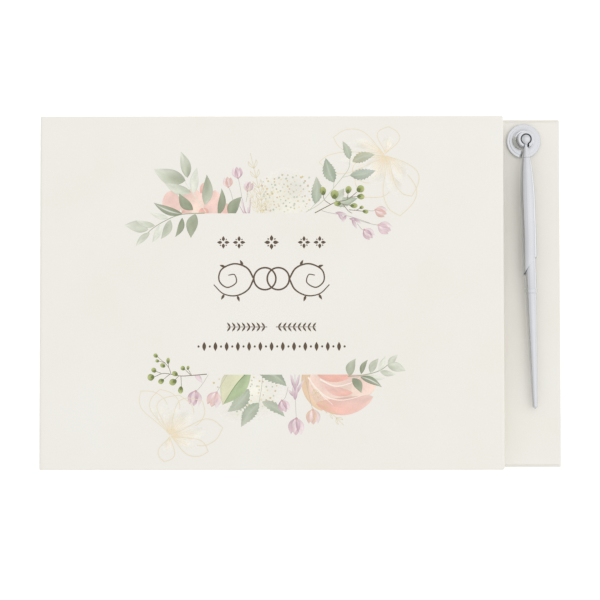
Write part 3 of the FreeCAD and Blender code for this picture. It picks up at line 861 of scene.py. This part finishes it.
def lower_band(name):
    """The lower garland: cropped straight above, hanging buds, coral petals, foliage to the right."""
    line = -41.7
    back = Ink(seed=21)
    back.leaf((90, -60), (125, -47), 25, STRAW, full=0.5, widest=0.5, edge=0.0, soft=0.8)
    sprinkle(back, (89, -66), (121, -43), 74, lambda x, y: y > -66 + abs(x - 104) * 0.75)
    back.line([(113.5, -41), (112.8, -49), (111.4, -57)], 0.25, STEM_GREY)
    back.leaves((
        (106.5, -49, 95.6, -60.5, 8.0, SPRUCE, SAGE, 0.08, 9),
        (111.6, -56, 102.6, -68.2, 7.4, SPRUCE, SAGE, -0.06, 9),
        (111, -39.5, 125.6, -47.6, 8.6, MOSS, SPRUCE, 0.1, 9),
        (113.2, -55.4, 124.6, -63, 5.4, SAGE, SPRUCE, 0.08, 7),
    ), rib=(0.73, 0.755, 0.69))
    lime, fresh = (0.84, 0.835, 0.715), (0.665, 0.725, 0.575)
    back.leaf((108, -37.5), (93, -57), 13.5, lime, lime, -0.07, widest=0.5, edge=0.14)
    back.leaf((107.6, -38.5), (93.6, -56.4), 5.6, fresh, fresh, 0.085, widest=0.5, edge=0.0)
    back.line([(108, -38), (99.9, -46.8), (93.6, -56.6)], 0.5, (0.47, 0.56, 0.39), 0.2)
    back.leaves((
        (136, -36, 143.5, -60, 10, APRICOT, APRICOT, -0.05),
        (142, -36, 148, -60, 14, PEACH, BLUSH, -0.04), (153, -36, 153, -57, 17, BLUSH, PEACH, 0.03),
        (165, -37, 160.5, -54.5, 13, BLUSH, PEACH, 0.1),
        (140.5, -56.5, 169.5, -53, 9.0, CORAL, BLUSH, -0.1),
        (141, -41.5, 159, -41.5, 8.0, CORAL, CORAL, 0.0),
        (143.5, -46, 159, -51, 4.6, BLUSH, CORAL, -0.1),
    ), full=0.6, widest=0.5, edge=0.05)
    cream = (0.94, 0.895, 0.85)
    for stops in (
        [(142.5, -44), (150, -47.5), (158, -46), (163, -43)],
        [(139, -47), (146, -53), (155, -54.5), (168, -51)], [(136.5, -43), (141.5, -50), (149, -57)],
    ):
        back.line(stops, 0.9, cream, 0.2)
    fern(back, [(138, -47), (143.5, -56), (154.6, -67.4)], GOLD_DEEP, 7, 3.6)
    buds(back, (
        ((79, -53.6), 6.6, 262, LILAC, LILAC_DEEP, (87, -40), (82.5, -47)),
        ((88.8, -54.2), 6.8, 250, ROSE, LILAC, (96.5, -40), (92, -47.5)),
        ((124.2, -57.6), 5.4, 290, LILAC, LILAC_DEEP, (126.4, -48), (125, -53)),
        ((130.4, -68), 7.4, 268, LILAC, LILAC_DEEP, (129.8, -40), (130, -54)),
        ((139, -63), 6.6, 272, ROSE, APRICOT, (135, -43), (137.4, -54)),
    ))
    florets(back, 1.5, (
        (129.8, -50, 127.4, -40), (129.8, -50, 132.6, -40), (130, -52, 134.6, -44),
        (129.8, -53, 126, -49), (129.8, -54.5, 128.6, -47), (130, -54.5, 131, -47),
    ))
    back.leaf((79, -40.5), (83, -46), 2.6, LILAC, LILAC_PALE, rows=10, columns=5)

    free = Ink(seed=22)
    free.layers = back.layers
    gold_blossom(free, (66.5, -72.5), (
        (124, 27, 12, -0.08, 8), (103, 24, 15, -0.04, 9), (78, 21, 19, 0.0, 12), (47, 24, 15, 0.04, 9),
        (9, 27, 13, -0.05, 8), (338, 21, 9, -0.06, 5), (258, 13.5, 8.5, 0.0, 4),
    ))
    stalks = (
        [(67, -41.2), (65.4, -37.5), (60.4, -32.8)], [(64, -35.6), (60.8, -34.8)],
        [(65.8, -38.4), (65.6, -36)], [(66.4, -41.4), (63, -44.2)], [(62, -41), (59, -39.8)],
        [(71, -42.2), (69, -44.4)], [(72, -42.2), (72.3, -47.8)], [(77, -41.9), (74, -39)],
        [(77.4, -41.9), (75.8, -39.2)],
    )
    berries = (
        (59.2, -32, 2.1, 2.5, 140), (60, -34.7, 1.6, 2.0, 170), (62.8, -37, 2.3, 2.8, 150),
        (65.5, -34.6, 1.8, 3.2, 88), (58.3, -39.4, 2.4, 2.8, 135), (56.8, -43, 3.4, 3.6, 190),
        (62, -45, 2.6, 3.2, 215), (69, -41.2, 2.5, 3.2, 150), (68, -45.4, 3.3, 4.0, 205),
        (73, -38.4, 2.2, 2.5, 130), (75.6, -38.2, 1.5, 2.2, 80), (71.9, -49.4, 2.5, 3.8, 262),
    )
    twig(free, [(85.2, -41.4), (78, -42), (71.5, -42.3), (63.5, -41), (58.4, -42.8)], stalks, berries)
    free.line([(156.6, -42.6), (164, -42), (172, -40), (177.4, -36.4), (181, -32.6)], 0.5, MOSS, 0.3)
    free.leaves((
        (157.4, -42.4, 160.6, -33.6, 4.6, MOSS, SAGE, 0.1),
        (163.4, -41.4, 166.8, -34.2, 2.7, FOREST, MOSS, 0.1),
        (168, -40.8, 172.2, -33.6, 3.8, SAGE, SAGE, 0.08),
        (172.4, -39.8, 175.8, -32.2, 2.6, SAGE_PALE, SAGE_PALE, 0.0),
        (177, -36.4, 181.9, -31.6, 3.1, SAGE, SAGE_PALE, 0.0),
        (176.8, -37, 186, -39.8, 4.8, SAGE, SAGE_PALE, 0.05),
        (173, -40, 181, -41.6, 2.9, SAGE, SAGE_PALE, -0.05),
        (165.4, -42.2, 175.6, -43.6, 2.8, SAGE_PALE, SAGE_PALE, -0.05),
        (159, -43.6, 163.4, -51, 4.4, FOREST, MOSS, 0.1),
    ))
    gapped_leaf(free, (163, -42.8), (173.8, -48), 3.6, 0.06)
    return [back.mesh(name + "_cropped", cut=line, above=False), free.mesh(name + "_free")]


def ornaments(name):
    """Plain sepia ornaments in the middle of the cover: fleurons, two rings in scrolls, borders."""
    ink = Ink(seed=31)
    middle = 118.0
    dot = {"full": 0.5, "widest": 0.5}

    def shape(foot, tip, width, rows, **looks):
        ink.leaf(foot, tip, width, SEPIA, edge=0.0, rows=rows, columns=5, **looks)

    for offset, size in ((-24.5, 6.4), (-16.5, 6.4), (0, 7.4), (16.5, 6.4), (24.5, 6.4)):
        place = np.array((middle + offset, 25.5))
        for turn in (0, 90, 180, 270):
            along, between = heading(turn) * size, heading(turn + 45) * size
            shape(place + along * 0.1, place + along * 0.5, size * 0.24, 12)
            shape(place + between * 0.26, place + between * 0.39, size * 0.1, 7, **dot)
    turns = np.linspace(0, 360, 33)
    for offset in (-3.4, 3.4):
        ink.line([(middle + offset, 7) + heading(a) * 5.6 for a in turns], 0.85, SEPIA, steps=2)
    scroll = [(9, 7), (12.5, 12.5), (19, 14.6), (25.5, 11.6), (26.6, 6), (22.6, 2.6), (18, 5),
              (18.8, 9), (22, 8.8)]
    tail = [(9, 7), (12, 1.4), (18, -1.6), (24.5, -0.6), (29.4, 4)]
    for side in (-1, 1):
        for stops in (scroll, tail):
            ink.line([(middle + side * x, y) for x, y in stops], 0.9, SEPIA, 0.5)
        for x, y, turn in ((14.5, 13.8, 60), (23.4, 12.9, 20), (17.4, -1.6, 250), (24, -0.9, 300)):
            foot = np.array((middle + side * x, y))
            shape(foot, foot + heading(turn if side > 0 else 180 - turn) * 3.2, 1.3, 10)
    for side in (-1, 1):
        ink.line([(middle + side * 2.2, -17.5), (middle + side * 22.6, -17.5)], 0.4, SEPIA, 0.25)
        for n in range(8):
            foot = np.array((middle + side * (3.4 + 2.5 * n), -17.5))
            for sign in (-1, 1):
                shape(foot, foot + (side * 1.7, sign * 2.3), 0.95, 8)
    for n in range(-13, 14):
        x = middle + n * 2.85
        if n % 2:
            shape((x, -28), (x, -26.8), 1.08, 10, **dot)
        else:
            shape((x, -29.7), (x, -25.1), 1.932, 10, widest=0.5)
    return [ink.mesh(name)]


def joined(name, meshes):
    """Several meshes as one."""
    work = bmesh.new()
    for mesh in meshes:
        work.from_mesh(mesh)
    whole = bpy.data.meshes.new(name)
    work.to_mesh(whole)
    work.free()
    return whole


def cover_print():
    for name, make in (
        ("print_upper_garland", upper_band),
        ("print_lower_garland", lower_band),
        ("print_ornaments", ornaments),
    ):
        layer = new_piece(name, joined(name, make(name)), PRINTED_INK)
        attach(layer, "front_cover")


# The pen and its holder. Profiles are (radius, height, rounding), and run round the section.

PIVOT = Vector(joint("holder_swivel")["pos_m"]) / MM
BALL = Vector(joint("pen_tilt")["pos_m"]) / MM
ALONG = Vector(joint("pen_pull_out")["axis"]).normalized()
ACROSS = -Vector(joint("pen_tilt")["axis"]).normalized()
SEGMENTS = 128
BALL_RADIUS = 3.0
BALL_UP = BALL.z - PIVOT.z
RIVET = 1.55  # radii about the swivel
NECK = 4.2
CAVITY = 3.2
SLOT_HALF = 1.4  # half the width of the turret's slot
SLOT_REACH = 9.0  # far enough out of the turret's side
SHEATH = 3.85  # radii about the pen
BORE = 3.25
BARREL = 2.95
WALL = 2.15
REFILL = 1.3
SLANT = 30.0  # places along the pen from the ball: where the slant starts, and the sheath's mouth
MOUTH = 65.0


def frame_on(origin, up):
    """A place whose x axis lies across the pen and whose z axis is up."""
    turn = Matrix((ACROSS, up.cross(ACROSS), up)).transposed()
    return Matrix.Translation(origin) @ turn.to_4x4()


def softened(profile):
    """A profile whose corners are rounded by the radius that each one carries."""
    line = []
    for n, (radius, height, *rounding) in enumerate(profile):
        corner = np.array((radius, height), float)
        if not rounding:
            line.append(corner)
            continue
        before = np.array(profile[n - 1][:2]) - corner
        after = np.array(profile[(n + 1) % len(profile)][:2]) - corner
        before, after = before / np.hypot(*before), after / np.hypot(*after)
        half_angle = math.acos(np.clip(before @ after, -1, 1)) / 2
        reach = rounding[0] / math.tan(half_angle)
        inwards = (before + after) / np.hypot(*(before + after))
        middle = corner + inwards * rounding[0] / math.sin(half_angle)
        start, stop = corner + before * reach - middle, corner + after * reach - middle
        opening = math.acos(np.clip(start @ stop / rounding[0] ** 2, -1, 1))
        for share in np.linspace(0, 1, 6):
            near, far = math.sin((1 - share) * opening), math.sin(share * opening)
            line.append(middle + (near * start + far * stop) / math.sin(opening))
    return line


def lathe(name, profile, place, shaped):
    """A turned solid. Its profile is closed, or starts and ends on the axis. Shaped moves heights."""
    solid = profile[0][0] == 0
    points, rings = [], []
    for radius, height in softened(profile):
        first = len(points)
        count = 1 if radius < 1e-9 else SEGMENTS
        for angle in np.linspace(0, 2 * math.pi, count, endpoint=False):
            x, y = radius * math.cos(angle), radius * math.sin(angle)
            points.append((x, y, shaped(x, y, height) if shaped else height))
        rings.append((first, count))
    faces = []
    for (near, near_count), (far, far_count) in zip(rings, rings[1:] + ([] if solid else rings[:1])):
        for n in range(SEGMENTS):
            after = (n + 1) % SEGMENTS
            if near_count == 1:
                faces.append((near, far + n, far + after))
            elif far_count == 1:
                faces.append((near + n, near + after, far))
            else:
                faces.append((near + n, near + after, far + after, far + n))
    return mesh_from(name, [tuple(place @ Vector(point)) for point in points], faces)


def cut_away(mesh, cutter):
    """One closed mesh with another taken out of it."""
    body, tool = placed("body", mesh), placed("tool", cutter)
    boolean = body.modifiers.new("cut", "BOOLEAN")
    boolean.object = tool
    boolean.operation = "DIFFERENCE"
    boolean.solver = "EXACT"
    result = bpy.data.meshes.new_from_object(body.evaluated_get(bpy.context.evaluated_depsgraph_get()))
    for helper in (body, tool):
        bpy.data.objects.remove(helper)
    return edited(result, lambda work: bmesh.ops.dissolve_degenerate(work, dist=1e-7, edges=work.edges))


def slot_cutter(place):
    """The turret's slot, open towards the pen: round below and straight above."""
    bottom = SLOT_HALF * np.array([(math.cos(a), -math.sin(a)) for a in np.linspace(0, math.pi, 25)])
    outline = [(SLOT_HALF, BALL_UP + 4), *(bottom + (0, BALL_UP)), (-SLOT_HALF, BALL_UP + 4)]
    count = len(outline)
    points = [(x, y, z) for y in (0, -SLOT_REACH) for x, z in outline]
    faces = [tuple(range(count)), tuple(range(count, 2 * count))]
    for n in range(count):
        after = (n + 1) % count
        faces.append((n, after, after + count, n + count))
    return mesh_from("slot", [tuple(place @ Vector(point)) for point in points], faces)


def turret_profile():
    """The turret's section: foot, concave flare, neck, rim, lip and bore."""
    rim = BALL_UP + 2.1
    neck = [(NECK, rim - 4.3 + 0.4 * n) for n in range(10)]
    return [
        (RIVET, 1.62), (7.4, 1.62, 0.12), (7.4, 2.3, 0.18), (7.2, 2.3), (NECK, 2.3, 3.0), *neck,
        (NECK, rim, 0.45), (2.8, rim, 0.2), (2.8, rim - 0.5), (CAVITY, rim - 0.5), (CAVITY, 5.2),
        (CAVITY, 2.5), (RIVET, 2.5),
    ]


def ball_profile():
    """The ball on its stud, which widens into a cone where the sheath is screwed on."""
    sphere = [(BALL_RADIUS * math.sin(a), -BALL_RADIUS * math.cos(a)) for a in np.linspace(0, 2.73, 44)]
    return [(0, -BALL_RADIUS), *sphere[1:], (1.1, 3.3, 0.4), (1.1, 4.5, 1.2), (2.2, 9.2, 0.1),
            (2.1, 9.28), (1.15, 9.28), (1.15, 12.2), (0, 12.2)]


def sheath_mouth(x, y, height):
    """Heights above the slant's start stretched, so that the mouth becomes slanted."""
    share = max(height - SLANT, 0) / (MOUTH - SLANT)
    return height - share * (1.3 * x + 0.4 * y)


def holder_and_pen():
    """The chrome holder on the ledge, and the pen in it: turned parts, replacing the CAD ones."""
    upright = frame_on(PIVOT, Vector((0, 0, 1)))
    pen = frame_on(BALL, ALONG)
    for body, place, pieces in (
        ("back_cover", upright, (
            ("chrome_base_plate", "holder_base",
             [(RIVET, 0.5), (8.72, 0.5), (8.8, 0.58), (8.8, 1.5, 0.42), (RIVET, 1.5)]),
            ("foam_ring", "holder_adhesive_pad",
             [(3, 0.02), (8.15, 0.02, 0.1), (8.3, 0.25), (8.15, 0.48, 0.1), (3, 0.48)]),
        )),
        ("turret", upright, (
            ("chrome_turret", "swivel_turret", turret_profile()),
            # A dark nylon ring in the gap between ball and lip: painted shade, standing for the shadow that falls
            # in that gap.
            ("gap_shade_ring", "", [(2.3, 9.56), (2.84, 9.4), (2.84, 9.66), (2.34, 9.66)]),
        )),
        ("sheath", pen, (
            ("chrome_ball", "ball_stud", ball_profile()),
            ("chrome_sheath", "pen_sheath",
             [(0, 12.4), (1.2, 12.4), (1.2, 9.32), (2.1, 9.32), (2.22, 9.42), (3.05, 15, 14),
              (SHEATH, 28, 9), (SHEATH, SLANT), (SHEATH, 50), (SHEATH, MOUTH - 0.2),
              (3.82, MOUTH - 0.07), (3.74, MOUTH), (3.36, MOUTH), (3.28, MOUTH - 0.07),
              (BORE, MOUTH - 0.2), (BORE, 50), (BORE, SLANT), (0.9, 16), (0, 16)]),
            # A dark nylon sleeve inside the bore: painted shade, darkening the gap at the sheath's mouth where
            # shadow falls.
            ("mouth_shade_lining", "", [(3.08, 31), (3.22, 31), (3.22, 64.85), (3.08, 64.85)]),
        )),
        ("pen", pen, (
            ("chrome_nose_cone", "pen_nose_cone",
             [(0.94, 20), (1.05, 20), (1.15, 20.2), (2.1, 25.2, 30), (2.93, 30.9, 0.2), (2.88, 30.98),
              (WALL, 30.98), (WALL, 36), (REFILL, 36), (REFILL, 23), (0.94, 23)]),
            ("chrome_barrel", "pen_barrel",
             [(2.25, 31.02), (2.88, 31.02), (BARREL, 31.1), (BARREL, 50), (BARREL, 76.3), (2.9, 76.38),
              (2.25, 76.38)]),
            ("chrome_ring", "pen_ring",
             [(2.25, 76.42), (2.6, 76.42), (2.6, 76.68), (3.2, 76.68, 0.25), (3.2, 78.62, 0.25),
              (2.6, 78.62), (2.6, 78.88), (2.25, 78.88)]),
            ("chrome_tail", "pen_tail",
             [(0, 84.9), (REFILL, 84.9), (REFILL, 72.5), (WALL, 72.5), (WALL, 78.92), (2.78, 78.92),
              (2.85, 79), (2.1, 108), (1.4, 135.5, 9), (1.32, 137.2, 1.3), (0, 138.35)]),
        )),
    ):
        for name, node, profile in pieces:
            mesh = lathe(name, profile, place, sheath_mouth if body == "sheath" else None)
            if body == "turret":
                mesh = cut_away(mesh, slot_cutter(upright))
            slot = SLOTS.get(node, "nylon")  # the dark ring and the dark lining, painted shade in the gaps at the ball and the mouth, have no CAD node
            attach(new_piece(name, mesh, MATERIALS[slot], [node] if node else []), body)


# Scene

TABLE_HALF = 2.5  # in metres, as is all of the scene
TABLE_GAP = 0.0002  # keeps the table's face off the book's
KEY_PLACE = (0.5, 0.7, 1.9)
KEY_SIZE = (2.4, 2.0)
KEY_POWER = 7.5
ROOM_POWER = 1.01
# Grey levels of the room, from the horizon to the zenith and from left to right
ROOM_BY_HEIGHT = ((0.0, 0.4), (0.05, 0.45), (0.1, 0.85), (0.55, 0.9), (0.8, 1.0), (1.0, 1.08))
ROOM_ACROSS = ((0.0, 0.88), (0.22, 0.9), (0.3, 0.78), (0.36, 0.96), (0.6, 1.02), (1.0, 1.25))
CAMERA_PLACE = (0.0026, -0.0219, 0.7193)
CAMERA_TURN = (1.47, 0.30, -0.06)  # degrees
LENS = 83.15


def carried_materials():
    """The CAD nodes' own materials, by the slots that the record gives them."""
    for name, slot in SLOTS.items():
        materials = frame["nodes"][name].data.materials
        materials.clear()
        materials.append(MATERIALS[slot])


def floor():
    """A plain white table, a little luminous as a backlit one is."""
    finish = Finish("table", (0.9, 0.9, 0.9), 0.9, Emission_Color=(1, 1, 1, 1), Emission_Strength=0.32)
    finish.bump(finish.noise(2.0), depth=0.004, strength=0.2)
    mesh = bpy.data.meshes.new("table")
    corners = [(x * TABLE_HALF, y * TABLE_HALF, 0) for x, y in ((-1, -1), (1, -1), (1, 1), (-1, 1))]
    mesh.from_pydata(corners, [], [(0, 1, 2, 3)])
    mesh.materials.append(finish.material)
    table = placed("table", mesh)
    table.location.z = -TABLE_GAP


def ramp(tree, source, low, stops):
    """Grey levels along a value that runs from low to 1, as (share, level) stops."""
    spread = new_node(tree, "ShaderNodeMapRange", {"Value": source}, {"From Min": low, "From Max": 1})
    levels = new_node(tree, "ShaderNodeValToRGB", {"Fac": spread.outputs["Result"]})
    while len(levels.color_ramp.elements) < len(stops):
        levels.color_ramp.elements.new(0.5)
    for element, (share, level) in zip(levels.color_ramp.elements, stops):
        element.position = share
        element.color = (level, level, level, 1)
    return levels.outputs["Color"]


def studio():
    """A pale room with a darker skirting, which draws the chrome's edges, and a wide soft lamp."""
    world = bpy.data.worlds.new("studio")
    world.use_nodes = True
    tree = world.node_tree
    direction = new_node(tree, "ShaderNodeTexCoord").outputs["Generated"]
    split = new_node(tree, "ShaderNodeSeparateXYZ", {0: direction})
    by_height = ramp(tree, split.outputs["Z"], 0, ROOM_BY_HEIGHT)
    across = ramp(tree, split.outputs["X"], -1, ROOM_ACROSS)
    background = tree.nodes["Background"]
    background.inputs["Strength"].default_value = ROOM_POWER
    tree.links.new(multiplied(tree, by_height, across), background.inputs["Color"])
    bpy.context.scene.world = world

    light = bpy.data.lights.new("key", "AREA")
    light.shape = "RECTANGLE"
    light.size, light.size_y = KEY_SIZE
    light.energy = KEY_POWER
    lamp = placed("key", light)
    lamp.location = KEY_PLACE
    lamp.rotation_euler = (-Vector(KEY_PLACE)).to_track_quat("-Z", "Y").to_euler()
    lamp.visible_glossy = False  # the chrome mirrors the room, not the lamp


def camera():
    """Almost straight above, as the book is usually shown."""
    lens = bpy.data.cameras.new("camera")
    lens.lens = LENS
    lens.sensor_width = 36
    lens.clip_start = 0.01
    view = placed("camera", lens)
    view.location = CAMERA_PLACE
    view.rotation_euler = [math.radians(angle) for angle in CAMERA_TURN]
    bpy.context.scene.camera = view
    bpy.context.scene.view_settings.view_transform = "Standard"


carried_materials()
cover_wraps()
joint_wraps()
text_block()
cover_print()
holder_and_pen()
floor()
studio()
camera()
